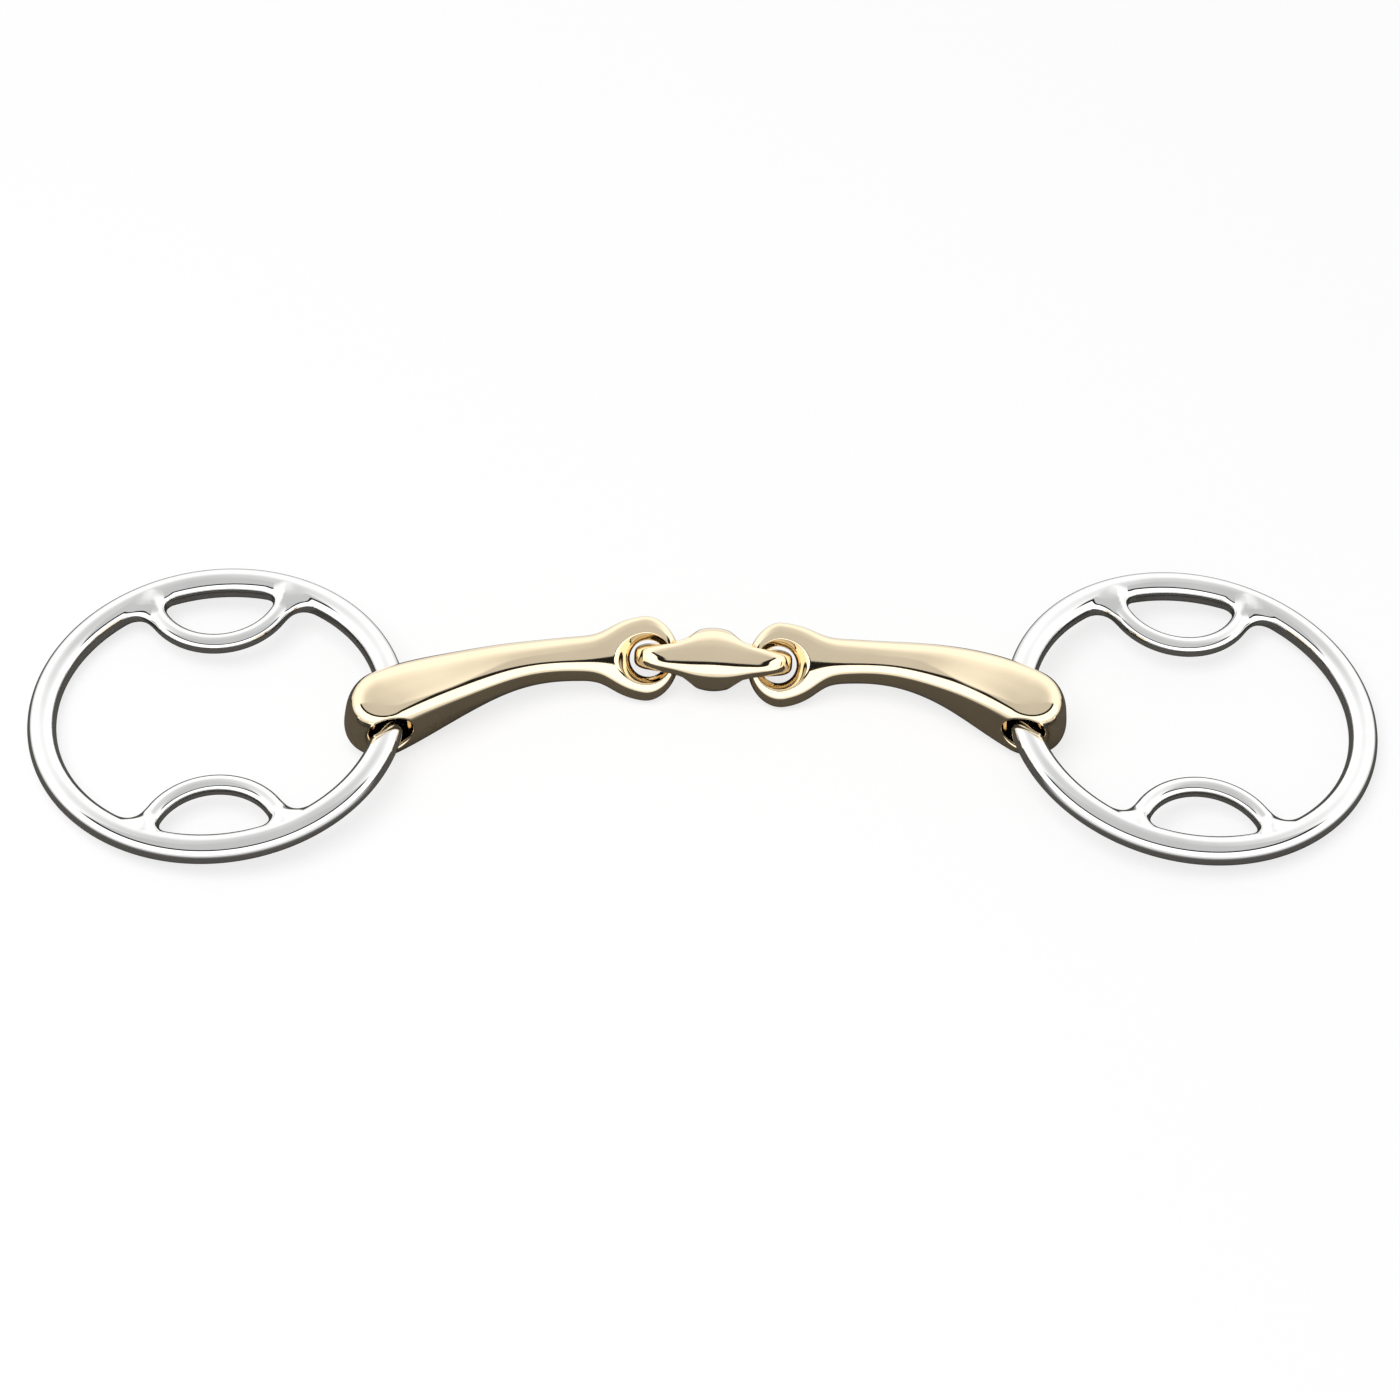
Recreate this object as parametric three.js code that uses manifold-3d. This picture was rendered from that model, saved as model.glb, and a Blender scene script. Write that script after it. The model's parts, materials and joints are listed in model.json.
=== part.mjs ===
// Double-jointed loose-ring snaffle bit with two rein loops inside each ring.
// It lies flat on a table: +Z is up, X runs along the mouthpiece, and the origin is on the
// table under the middle of the bit. Lengths are in millimetres, angles in degrees.
import * as THREE from 'three';
import { ParametricGeometry } from 'three/addons/geometries/ParametricGeometry.js';
import { mergeVertices } from 'three/addons/utils/BufferGeometryUtils.js';
import Module from 'manifold-3d';

const wasm = await Module();
wasm.setup();

// ---- Driving dimensions -------------------------------------------------------------------

const REST_GAP = 0.04; // left between the lowest points and the table

const BIT_SIZE = 125.6; // between the two ring holes, the size a bit is sold by
const LINK_SHIFT = 1.8; // the link lies this far to the right of the middle of the bit

// Each cannon's course, seen from above. bow is how far its eye lies towards +Y of its ring hole,
// heading is the thick end's in degrees, and holeOffset is the hole's middle from the spine.
// spine holds shares of the way from the eye to the ring hole, and of the bow.
const LEFT = {
  bow: 14.4,
  heading: 32,
  holeOffset: 0.9,
  spine: [[0.75, 0.42], [0.55, 0.74], [0.33, 0.935], [0.12, 0.995]],
};
const RIGHT = {
  bow: 12.8,
  heading: 38,
  holeOffset: 0,
  spine: [[0.75, 0.6], [0.55, 0.89], [0.33, 1.03], [0.12, 1.04]],
};

const RING_DIAMETER = 70; // at the middle of the ring's bar
const RING_BAR = 5.8; // diameter of the ring's round bar
const LOOP_BAR = 4; // diameter of a loop's round bar
const LOOP_RADIUS = 13.7; // at the middle of the loop's bar
const LOOP_INSET = 2.7; // from the ring's centreline in to the loop's centre
const LOOP_ROOT_ANGLE = 52; // where the loop is welded to its root, from the loop's crown
const ROOT_FLARE = 3.4; // how much a root widens each way at the ring, as a dressed weld does
const ROOT_SINK = 0.5; // how far a root's top lies below the top of the ring's bar
const WELD_GAP = 0.3;

const RING_PLAY = 1.6; // how much wider than the ring's bar the neck of its hole is
const MOUTH_PLAY = 0.03; // what the hole's mouths leave beyond the ring's curve
const HOLE_RISE = 0.65; // of the ring hole's axis above the middle of the thick end
const BUTT_HALF_WIDTH = 7.3; // of the cannon's thick end
const BUTT_TIP_HALF_WIDTH = 7.1;
const BUTT_WALL = 3.4; // over and under the mouths of the ring hole
const BUTT_TIP_WALL = 5.1; // beyond the mouths of the ring hole
const BUTT_ROLL = 10;
const WAIST_RADIUS = 4.4; // the cannon's bar at its thinnest
const NECK_WIDENING = 0.15; // by how much the neck's radius is over the waist's, across the eye
const NECK_THINNING = 0.2; // by how much it is under the waist's, through the eye

const EYE_WALL = 4.8; // round the hole of the eye at the cannon's thin end
const EYE_TIP_WALL = 2.55; // between that hole and the eye's tip
const EYE_HALF_THICKNESS = 3;
const EYE_TIP_ROUND = 2.5; // how far from its tip the eye comes to its full thickness
const EYE_HOLE_OFFSET = 1.15; // the hole lies this much nearer the link than the eye's centre
const EYE_HOLE_FLARE = 2.2;
const EYE_PLAY = 1.8; // how much wider than the link's end the eye's hole is
const EYE_TILT = 44; // the eyes' faces turn this far from level, towards -Y
const NECK_LENGTH = 11; // from the eye's centre to where the cannon is a plain bar

const LINK_LENGTH = 31.9;
const LINK_HALF_HEIGHT = 6.4; // of the lozenge, across the mouthpiece
const LINK_HALF_DEPTH = 6.6;
const LINK_END_HALF_HEIGHT = 2.8; // of the link's end eyes
const LINK_WALL = 3.4; // of the link's end eyes
const LINK_HOLE_FLARE = 0.7;
const LINK_PLAY = 1.6; // how much wider than the cannon's eye is thick the link's hole is
const END_GAP = 0.85; // between the link's tip and the far wall of the eye's hole
const LINK_RISE = 0.4; // of the link above the middles of the eyes' holes, across its length

// Section shapes: 2 is an ellipse, and a higher power is squarer.
const EYE_POWER = 2.4;
const WAIST_POWER = 2;
const BUTT_POWER = 3.3;
const LINK_POWER = 2.2;

// ---- Sizes that follow from them ------------------------------------------------------------

// How far down a section reaches from its centre when it is rolled.
function reachDown(halfWidth, halfHeight, power, rollDegrees) {
  const roll = THREE.MathUtils.degToRad(rollDegrees);
  const dual = power / (power - 1);
  const sides = (halfWidth * Math.sin(roll)) ** dual + (halfHeight * Math.cos(roll)) ** dual;
  return sides ** (1 / dual);
}

const RING_RADIUS = RING_DIAMETER / 2;
const RING_BAR_RADIUS = RING_BAR / 2;
const LOOP_CENTRE_Y = RING_RADIUS - LOOP_INSET;

const HOLE_X = BIT_SIZE / 2;
const HOLE_DEPTH = BUTT_HALF_WIDTH / Math.cos(THREE.MathUtils.degToRad(LEFT.heading));
const RING_HOLE = RING_BAR + RING_PLAY;
const RING_SAG = RING_RADIUS - Math.sqrt(RING_RADIUS ** 2 - HOLE_DEPTH ** 2);
const HOLE_FLARE = RING_SAG + MOUTH_PLAY;
const HOLE_MOUTH_RADIUS = RING_HOLE / 2 + HOLE_FLARE;
const BUTT_HALF_HEIGHT = HOLE_MOUTH_RADIUS + BUTT_WALL;
const BUTT_OVERHANG = HOLE_MOUTH_RADIUS + BUTT_TIP_WALL;
const BUTT_HEIGHT = REST_GAP + reachDown(BUTT_HALF_WIDTH, BUTT_HALF_HEIGHT, BUTT_POWER, BUTT_ROLL);
const HOLE_HEIGHT = BUTT_HEIGHT + HOLE_RISE;
const RING_TILT = Math.asin((HOLE_HEIGHT - RING_BAR_RADIUS) / RING_DIAMETER);
const RING_CENTRE_X = HOLE_X + RING_RADIUS * Math.cos(RING_TILT);
const RING_CENTRE_Z = HOLE_HEIGHT - RING_RADIUS * Math.sin(RING_TILT);

const LINK_HOLE = 2 * EYE_HALF_THICKNESS + LINK_PLAY;
const LINK_HOLE_X = LINK_LENGTH / 2 - LINK_WALL - LINK_HOLE / 2;
const EYE_HOLE = 2 * LINK_END_HALF_HEIGHT + EYE_PLAY;
const EYE_HOLE_X = LINK_LENGTH / 2 + END_GAP - EYE_HOLE / 2; // from the middle of the link
const EYE_X = EYE_HOLE_X + EYE_HOLE_OFFSET;
const EYE_RADIUS = EYE_HOLE / 2 + EYE_WALL;
const EYE_REACH = EYE_HOLE / 2 + EYE_HOLE_OFFSET + EYE_TIP_WALL; // from its centre to its tip
const LINK_YAW = Math.atan2(RIGHT.bow - LEFT.bow, 2 * EYE_HOLE_X);
const EYE_HEIGHT = REST_GAP + Math.max(
  reachDown(EYE_RADIUS, EYE_HALF_THICKNESS, EYE_POWER, EYE_TILT),
  reachDown(LINK_HALF_HEIGHT, LINK_HALF_DEPTH, LINK_POWER, EYE_TILT),
);

// ---- Solids ---------------------------------------------------------------------------------

// Facets of each surface: round its section, and along it.
const RING_FACETS = [14, 72];
const LOOP_FACETS = [12, 12];
const ROOT_ROWS = 5;
const CANNON_FACETS = [24, 44];
const LINK_FACETS = [20, 28];
const RING_HOLE_SIDES = 20;
const EYE_HOLE_SIDES = 24;
const LINK_HOLE_SIDES = 20;
const CAP_ROWS = 2;

function toSolid(geometry) {
  geometry.deleteAttribute('normal');
  geometry.deleteAttribute('uv');
  const merged = mergeVertices(geometry, 1e-4);
  const index = merged.index.array;
  const triangles = [];
  for (let i = 0; i < index.length; i += 3) {
    const [a, b, c] = [index[i], index[i + 1], index[i + 2]];
    if (a !== b && b !== c && c !== a) triangles.push(a, b, c);
  }
  const positions = Float32Array.from(merged.attributes.position.array);
  const build = (triVerts) => new wasm.Manifold(
    new wasm.Mesh({ numProp: 3, vertProperties: positions, triVerts: Uint32Array.from(triVerts) }),
  );
  const solid = build(triangles);
  return solid.volume() > 0 ? solid : build(triangles.reverse());
}

function toGeometry(solid) {
  const mesh = solid.getMesh();
  const geometry = new THREE.BufferGeometry();
  geometry.setAttribute('position', new THREE.BufferAttribute(mesh.vertProperties, mesh.numProp));
  geometry.setIndex(new THREE.BufferAttribute(mesh.triVerts, 1));
  geometry.computeVertexNormals();
  return geometry;
}

// A closed loft. station(t) gives { centre, across, normal, halfWidth, halfHeight, power } for
// t from 0 to 1, with across and normal as unit vectors. Flat caps end it where it isn't pointed.
function loft(station, sides, rows) {
  const last = rows + CAP_ROWS;
  const surface = (u, v, target) => {
    const row = Math.round(v * last);
    const t = THREE.MathUtils.clamp((row - 1) / rows, 0, 1);
    const s = station(t);
    const angle = (Math.round(u * sides) % sides) * (2 * Math.PI / sides);
    const open = row === 0 || row === last ? 0 : 1;
    const bend = (value) => Math.sign(value) * Math.abs(value) ** (2 / s.power);
    target.copy(s.centre)
      .addScaledVector(s.across, open * s.halfWidth * bend(Math.cos(angle)))
      .addScaledVector(s.normal, open * s.halfHeight * bend(Math.sin(angle)));
  };
  return toSolid(new ParametricGeometry(surface, sides, last));
}

// A smooth value along an axis, through [place, value] pairs, with no overshoot.
function profile(pairs) {
  return (place) => {
    if (place <= pairs[0][0]) return pairs[0][1];
    for (let i = 1; i < pairs.length; i += 1) {
      const [x0, y0] = pairs[i - 1];
      const [x1, y1] = pairs[i];
      if (place <= x1) return y0 + (y1 - y0) * THREE.MathUtils.smoothstep(place, x0, x1);
    }
    return pairs[pairs.length - 1][1];
  };
}

// The cutter for a hole along +Y that flares to both mouths, in mid air at the origin.
function flaredHole(neckDiameter, flare, depth, sides) {
  const steps = 8;
  const overrun = 4; // past each mouth, to cut clean through
  const reach = depth + overrun;
  const outline = [new THREE.Vector2(0, -reach)];
  for (let i = 0; i <= steps; i += 1) {
    const y = THREE.MathUtils.lerp(-reach, reach, i / steps);
    const opened = Math.min(Math.abs(y / depth), 1) ** 3;
    outline.push(new THREE.Vector2(neckDiameter / 2 + flare * opened, y));
  }
  outline.push(new THREE.Vector2(0, reach));
  return toSolid(new THREE.LatheGeometry(outline, sides));
}

// ---- Rings and loops ------------------------------------------------------------------------

const ROOT_OVERLAP = 6; // degrees that a root runs on past the ring's centreline

// A ring is drawn flat in the XY plane with its centre at the origin.
function loopArc(side, fromAngle, toAngle, halfWidthAt, rows) {
  const station = (t) => {
    const angle = THREE.MathUtils.degToRad(THREE.MathUtils.lerp(fromAngle, toAngle, t));
    const out = new THREE.Vector3(Math.sin(angle), -side * Math.cos(angle), 0);
    const centre = new THREE.Vector3(0, side * LOOP_CENTRE_Y, 0).addScaledVector(out, LOOP_RADIUS);
    const { halfWidth, halfHeight } = halfWidthAt(t);
    return { centre, across: out, normal: new THREE.Vector3(0, 0, 1), halfWidth, halfHeight, power: 2 };
  };
  return loft(station, LOOP_FACETS[0], rows);
}

function loopSolid(side) {
  const gapAngle = THREE.MathUtils.radToDeg(WELD_GAP / LOOP_RADIUS);
  const reach = LOOP_ROOT_ANGLE - gapAngle;
  const round = () => ({ halfWidth: LOOP_BAR / 2, halfHeight: LOOP_BAR / 2 });
  return loopArc(side, -reach, reach, round, LOOP_FACETS[1]);
}

function ringSolid() {
  let solid = toSolid(new THREE.TorusGeometry(RING_RADIUS, RING_BAR_RADIUS, ...RING_FACETS));
  const meeting = THREE.MathUtils.radToDeg(Math.acos(LOOP_INSET / LOOP_RADIUS / 2));
  const ringAngle = meeting + ROOT_OVERLAP;
  const flared = (t) => ({
    halfWidth: LOOP_BAR / 2 + ROOT_FLARE * t ** 3,
    halfHeight: THREE.MathUtils.lerp(LOOP_BAR / 2, RING_BAR_RADIUS - ROOT_SINK, t ** 3),
  });
  for (const side of [-1, 1]) {
    for (const hand of [-1, 1]) {
      solid = solid.add(loopArc(side, hand * LOOP_ROOT_ANGLE, hand * ringAngle, flared, ROOT_ROWS));
    }
  }
  return solid;
}

// ---- Cannons --------------------------------------------------------------------------------

// Where the bar is thinnest and where the thick end has about half formed, as shares of the way
// from the eye to the ring hole, and the section that it has there.
const THINNEST = 0.33;
const SWELLING = 0.72;
const SWOLLEN_WIDTH = 0.55; // share of the change from the waist to the thick end
const SWOLLEN_HEIGHT = 0.45;
const SWOLLEN_ROLL = 20;
const SWOLLEN_POWER = 2.3;

// A cannon as a right one. Its spine is a curve in plan, from the outer tip to the tip of the eye.
function cannonStations(eyeX, course) {
  const heading = THREE.MathUtils.degToRad(course.heading);
  const outer = HOLE_X + BUTT_OVERHANG * Math.cos(heading);
  const eyeTip = eyeX - EYE_REACH;
  const at = (share) => THREE.MathUtils.lerp(eyeX, HOLE_X, share);
  const points = [
    [outer, -BUTT_OVERHANG * Math.sin(heading) - course.holeOffset],
    [HOLE_X, -course.holeOffset],
    ...course.spine.map(([share, bowShare]) => [at(share), course.bow * bowShare]),
    [eyeX, course.bow],
    [eyeTip, course.bow],
  ].map(([x, y]) => new THREE.Vector3(x, y, 0));
  const spine = new THREE.CatmullRomCurve3(points, false, 'centripetal');
  const total = spine.getLength();

  const swollen = (full, share) => THREE.MathUtils.lerp(WAIST_RADIUS, full, share);
  const height = profile([[eyeX, EYE_HEIGHT], [HOLE_X, BUTT_HEIGHT]]);
  const width = profile([
    [eyeX, EYE_RADIUS], [eyeX + NECK_LENGTH, WAIST_RADIUS + NECK_WIDENING],
    [at(THINNEST), WAIST_RADIUS], [at(SWELLING), swollen(BUTT_HALF_WIDTH, SWOLLEN_WIDTH)],
    [HOLE_X, BUTT_HALF_WIDTH], [outer, BUTT_TIP_HALF_WIDTH],
  ]);
  const thickness = profile([
    [eyeX, EYE_HALF_THICKNESS], [eyeX + NECK_LENGTH, WAIST_RADIUS - NECK_THINNING],
    [at(THINNEST), WAIST_RADIUS], [at(SWELLING), swollen(BUTT_HALF_HEIGHT, SWOLLEN_HEIGHT)],
    [HOLE_X, BUTT_HALF_HEIGHT],
  ]);
  const roll = profile([[eyeX + NECK_LENGTH, EYE_TILT], [at(SWELLING), SWOLLEN_ROLL], [HOLE_X, BUTT_ROLL]]);
  const power = profile([
    [eyeX, EYE_POWER], [at(THINNEST), WAIST_POWER], [at(SWELLING), SWOLLEN_POWER],
    [HOLE_X, BUTT_POWER],
  ]);

  const tip = (distance, length) => {
    const q = THREE.MathUtils.clamp(1 - distance / length, 0, 1);
    return Math.sqrt(1 - q * q);
  };
  return (t) => {
    const along = 0.5 - 0.5 * Math.cos(Math.PI * t); // closer stations at the two round tips
    const centre = spine.getPointAt(along);
    const tangent = spine.getTangentAt(along);
    const done = along * total;
    const left = total - done;
    centre.z = height(centre.x);
    const level = new THREE.Vector3(tangent.y, -tangent.x, 0).normalize();
    const turn = THREE.MathUtils.degToRad(roll(centre.x));
    const up = new THREE.Vector3(0, 0, 1);
    const across = level.clone().multiplyScalar(Math.cos(turn)).addScaledVector(up, Math.sin(turn));
    const normal = level.clone().multiplyScalar(-Math.sin(turn)).addScaledVector(up, Math.cos(turn));
    const butt = tip(done, BUTT_HALF_HEIGHT);
    return {
      centre,
      across,
      normal,
      halfWidth: width(centre.x) * butt * tip(left, EYE_REACH),
      halfHeight: thickness(centre.x) * butt * tip(left, EYE_TIP_ROUND),
      power: power(centre.x),
    };
  };
}

function cannonSolid(linkX, course) {
  const body = loft(cannonStations(linkX + EYE_X, course), ...CANNON_FACETS);
  const ringHole = flaredHole(RING_HOLE, HOLE_FLARE, HOLE_DEPTH, RING_HOLE_SIDES)
    .translate([HOLE_X, 0, HOLE_HEIGHT]);
  const eyeHole = flaredHole(EYE_HOLE, EYE_HOLE_FLARE, EYE_HALF_THICKNESS, EYE_HOLE_SIDES)
    .rotate([90 + EYE_TILT, 0, 0])
    .translate([linkX + EYE_HOLE_X, course.bow, EYE_HEIGHT]);
  return body.subtract(ringHole).subtract(eyeHole);
}

// ---- Centre link ----------------------------------------------------------------------------

const SHOULDER = 0.75; // share of the link's half length at which its bulge ends
const SHOULDER_RISE = 0.2; // how much higher than its end the link is there

// The link is drawn with its middle at the origin.
function linkSolid() {
  const half = LINK_LENGTH / 2;
  const halfHeight = profile([
    [0, LINK_HALF_HEIGHT], [half * SHOULDER, LINK_END_HALF_HEIGHT + SHOULDER_RISE],
    [half, LINK_END_HALF_HEIGHT],
  ]);
  const eyeRadius = LINK_WALL + LINK_HOLE / 2;
  const tilt = THREE.MathUtils.degToRad(EYE_TILT);
  const across = new THREE.Vector3(0, Math.cos(tilt), Math.sin(tilt));
  const normal = new THREE.Vector3(0, -Math.sin(tilt), Math.cos(tilt));
  const station = (t) => {
    const x = -half * Math.cos(Math.PI * t);
    const fromTip = half - Math.abs(x);
    const q = THREE.MathUtils.clamp(1 - fromTip / eyeRadius, 0, 1);
    const e = THREE.MathUtils.clamp(1 - fromTip / LINK_END_HALF_HEIGHT, 0, 1);
    return {
      centre: new THREE.Vector3(x, 0, 0),
      across,
      normal,
      halfWidth: halfHeight(Math.abs(x)) * Math.sqrt(1 - e * e),
      halfHeight: LINK_HALF_DEPTH * Math.sqrt(1 - q * q),
      power: LINK_POWER,
    };
  };
  let solid = loft(station, ...LINK_FACETS);
  for (const side of [-1, 1]) {
    const hole = flaredHole(LINK_HOLE, LINK_HOLE_FLARE, LINK_END_HALF_HEIGHT, LINK_HOLE_SIDES)
      .rotate([EYE_TILT, 0, 0])
      .translate([side * LINK_HOLE_X, 0, 0]);
    solid = solid.subtract(hole);
  }
  return solid;
}

// ---- Scene graph ----------------------------------------------------------------------------

const steel = new THREE.MeshStandardMaterial({ color: 0xc9cbce, metalness: 1, roughness: 0.08 });
const goldAlloy = new THREE.MeshStandardMaterial({ color: 0xdcc79c, metalness: 1, roughness: 0.1 });

function addMesh(parent, name, solid, material) {
  const mesh = new THREE.Mesh(toGeometry(solid), material);
  mesh.name = name;
  parent.add(mesh);
  return mesh;
}

const bit = new THREE.Group();
const ring = ringSolid();

for (const [hand, name, course] of [[-1, 'left', LEFT], [1, 'right', RIGHT]]) {
  const wheel = new THREE.Group();
  wheel.position.set(hand * RING_CENTRE_X, 0, RING_CENTRE_Z);
  wheel.rotation.y = hand * RING_TILT;
  addMesh(wheel, `${name}_ring`, ring, steel);
  addMesh(wheel, `${name}_upper_loop`, loopSolid(1), steel);
  addMesh(wheel, `${name}_lower_loop`, loopSolid(-1), steel);
  bit.add(wheel);
  const cannon = cannonSolid(hand * LINK_SHIFT, course).scale([hand, 1, 1]);
  addMesh(bit, `${name}_cannon`, cannon, goldAlloy);
}

const link = addMesh(bit, 'centre_link', linkSolid(), goldAlloy);
link.position.set(
  LINK_SHIFT,
  (LEFT.bow + RIGHT.bow) / 2 + LINK_RISE * Math.cos(THREE.MathUtils.degToRad(EYE_TILT)),
  EYE_HEIGHT + LINK_RISE * Math.sin(THREE.MathUtils.degToRad(EYE_TILT)),
);
link.rotation.z = LINK_YAW;

export default bit;
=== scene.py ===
"""Double-jointed loose-ring snaffle bit: the looks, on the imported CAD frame.

Each cannon, the link, and a ring with its loops is one smooth implicit surface. It is sampled on a grid and
meshed. Each vertex is then moved onto the exact surface and given its exact normal, so that the mirror
polish shows no facets. A ring's mesh is cut at its weld seams into the ring and its two loops.
Shapes are worked out in millimetres in the row frame, and turned into metres when a mesh is made.
"""

import json
import math

import bmesh
import bpy
import numpy as np
from mathutils import Matrix, Vector


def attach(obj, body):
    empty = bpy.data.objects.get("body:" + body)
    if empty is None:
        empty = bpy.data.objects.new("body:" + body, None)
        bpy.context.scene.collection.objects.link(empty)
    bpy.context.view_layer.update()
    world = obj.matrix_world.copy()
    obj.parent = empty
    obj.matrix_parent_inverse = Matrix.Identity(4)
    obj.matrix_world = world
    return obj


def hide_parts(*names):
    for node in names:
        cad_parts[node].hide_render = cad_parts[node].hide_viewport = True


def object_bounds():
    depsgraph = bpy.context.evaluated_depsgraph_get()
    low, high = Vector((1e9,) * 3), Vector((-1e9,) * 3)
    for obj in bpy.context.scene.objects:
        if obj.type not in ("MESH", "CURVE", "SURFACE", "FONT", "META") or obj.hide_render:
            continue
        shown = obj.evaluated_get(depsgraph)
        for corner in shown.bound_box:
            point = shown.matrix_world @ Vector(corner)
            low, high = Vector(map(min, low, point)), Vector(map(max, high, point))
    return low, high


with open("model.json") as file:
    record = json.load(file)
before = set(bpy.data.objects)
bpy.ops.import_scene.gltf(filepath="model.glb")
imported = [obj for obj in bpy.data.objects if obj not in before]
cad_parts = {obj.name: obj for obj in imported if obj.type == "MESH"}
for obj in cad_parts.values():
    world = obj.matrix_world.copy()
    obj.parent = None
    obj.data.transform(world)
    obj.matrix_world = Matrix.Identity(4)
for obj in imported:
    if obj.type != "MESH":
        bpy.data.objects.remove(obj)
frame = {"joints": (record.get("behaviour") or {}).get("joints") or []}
cad_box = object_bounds()

MM = 0.001
STEP = 0.34 * 1  # grid step, in millimetres

# ---- Driving sizes, in millimetres ----------------------------------------------------------

RING_RADIUS, RING_BAR = 35.0, 2.9
LOOP_RADIUS, LOOP_BAR, LOOP_INSET = 13.7, 2.0, 2.7
LOOP_ROOT_ANGLE = 52.0
WEB_OUTSIDE, WEB_INSIDE = 5.4, 3.2  # how far the welds' fillets reach, outside a loop and in its opening
WEB_EDGE = -0.7 * RING_BAR  # where the fillets end, inward from the middle of the ring's bar
WEB_SLOPE = 3.0  # the distance over which a web thins from the ring's bar to a loop's
SHARP = 0.01  # a fillet too small to see
SEAM_REACH = 3 * LOOP_BAR  # how far from a seam the faces are that its cut can meet

BUTT_HALF_WIDTH, BUTT_TIP_HALF_WIDTH, BUTT_HALF_HEIGHT, BUTT_OVERHANG = 7.3, 7.1, 8.2, 9.9
BUTT_ROLL = math.radians(10)
BUTT_POWER, BUTT_TIP_POWER = 3.0, 3.2  # how square the sections are: 2 is round
HOLE_RISE = 0.65  # of the ring hole above the middle of the thick end
RING_HOLE_NECK, RING_HOLE_FLARE, RING_HOLE_DEPTH = 3.7, 1.1, 8.6
FLARE_LIMIT = 1.2  # the share of the hole's depth at which its flare stops widening
WAIST_RADIUS, WAIST_POWER = 4.4, 2.05
SWELL_HALF_WIDTH, SWELL_HALF_HEIGHT, SWELL_POWER = 6.0, 6.1, 2.4
SWELL_ROLL = math.radians(20)

# Places along a cannon, as shares of the way from the eye to the ring hole.
WAIST, SWELL = 0.33, 0.72
NARROWEST, THINNEST, MIDDLE = 0.4, 0.36, 0.5
MIDDLE_HEIGHT = 7.7  # of the spine above the floor

EYE_RADIUS, EYE_REACH, EYE_HALF_THICKNESS = 8.5, 7.4, 3.1
EYE_HOLE_OFFSET, EYE_POWER = 1.15, 2.4
NECK_LENGTH, NECK_HALF_THICKNESS = 10.5, 4.1
NECK_HALF_WIDTHS = ((5.0, 7.0), (8.5, 5.2), (13.0, 4.5))  # by the distance from the eye
EYE_NECK, EYE_LIP, EYE_LIP_DEPTH = 3.7, 2.15, 3.1
LIP_LIMIT = 1.4  # the lip stops widening just beyond the eye's faces

LINK_HALF_LENGTH, LINK_HALF_HEIGHT, LINK_HALF_DEPTH = 15.95, 6.4, 6.6
LINK_END_HALF_HEIGHT, LINK_NECK, LINK_WALL = 2.8, 3.8, 3.4
LINK_HOLE_FLARE, LINK_FLARE_LIMIT = 0.7, 1.3
LINK_RISE = 0.4
LINK_HEIGHTS = ((0, LINK_HALF_HEIGHT), (4.0, 5.6), (7.2, 4.25), (10.5, 3.2), (13.0, LINK_END_HALF_HEIGHT))
LINK_POWERS = ((0, 2.15), (9.0, 3.0), (13.0, 3.5))
HOLE_EDGE, EYE_EDGE, LINK_EDGE = 0.9, 0.22, 0.6  # how far the rims of the holes are rounded

# Each cannon's course, seen from above: the heading of its thick end, how far the ring hole's middle
# is from its spine, and the spine as shares of the way from the eye to the ring hole and of the bow.
COURSES = {
    "left": (32, 0.9, ((0.75, 0.42), (0.55, 0.74), (0.33, 0.935), (0.12, 0.995))),
    "right": (38, 0.0, ((0.75, 0.6), (0.55, 0.89), (0.33, 1.03), (0.12, 1.04))),
}

# ---- Places, from the frame -----------------------------------------------------------------

joints = {j["name"]: j for j in frame["joints"]}


def joint_place(name):
    return np.array(joints[name]["pos_m"]) / MM


EYE_HOLES = {side: joint_place(f"{side}_fold") for side in COURSES}
HOLE = joint_place("right_ring_swing")
EYE_TILT = math.atan2(*(abs(c) for c in joints["right_fold"]["axis"][1:]))
RING_TILT = math.asin((HOLE[2] - RING_BAR) / (2 * RING_RADIUS))
LINK_CENTRE = (EYE_HOLES["left"] + EYE_HOLES["right"]) / 2
LINK_CENTRE += LINK_RISE * np.array([0, math.cos(EYE_TILT), math.sin(EYE_TILT)])
LINK_SPAN = EYE_HOLES["right"] - EYE_HOLES["left"]
LINK_YAW = math.atan2(LINK_SPAN[1], LINK_SPAN[0])


# ---- Implicit surfaces ----------------------------------------------------------------------


def smooth_curve(*knots):
    """A natural cubic through (place, value) knots, level beyond its ends."""
    x, y = np.array(sorted(knots), float).T
    h, n = np.diff(x), len(x)
    a, b = np.eye(n), np.zeros(n)
    slope = np.diff(y) / h
    for i in range(1, n - 1):
        a[i, i - 1 : i + 2] = h[i - 1], 2 * (h[i - 1] + h[i]), h[i]
        b[i] = 6 * (slope[i] - slope[i - 1])
    m = np.linalg.solve(a, b)

    def at(place):
        p = np.clip(place, x[0], x[-1])
        i = np.clip(np.searchsorted(x, p) - 1, 0, n - 2)
        t = p - x[i]
        first = slope[i] - h[i] * (2 * m[i] + m[i + 1]) / 6
        return y[i] + t * (first + t * (m[i] / 2 + t * (m[i + 1] - m[i]) / (6 * h[i])))

    return at


def blend_min(a, b, radius):
    """The union of two solids, with a fillet of about this radius."""
    near = np.clip(radius - np.abs(a - b), 0, None) / radius
    return np.minimum(a, b) - near**2 * radius / 4


def blend_max(a, b, radius):
    return -blend_min(-a, -b, radius)


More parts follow.
